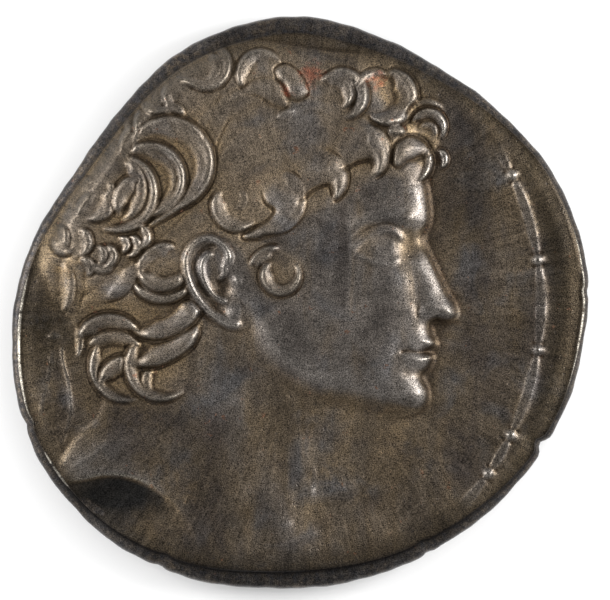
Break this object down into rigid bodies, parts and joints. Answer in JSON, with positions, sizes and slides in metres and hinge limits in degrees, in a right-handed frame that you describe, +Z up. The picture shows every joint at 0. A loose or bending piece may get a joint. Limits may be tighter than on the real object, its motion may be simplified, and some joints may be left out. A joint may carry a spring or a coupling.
{
  "type": "coin",
  "caption": "Thick struck silver coin with an uneven edge, a youthful head in high relief and an eagle on the underside.",
  "frame": {"origin": "centre of the coin's outline on the surface it lies on, at the middle of the bounding box's underside", "axes": "+Z up out of the portrait side, +Y towards the crown of the head, +X the way the portrait looks"},
  "size_m": [0.029, 0.0288, 0.0037],
  "materials": {
    "silver": "darkly toned silver, worn bright on the high relief"
  },
  "bodies": {
    "root": {"coin": "silver"}
  },
  "joints": []
}
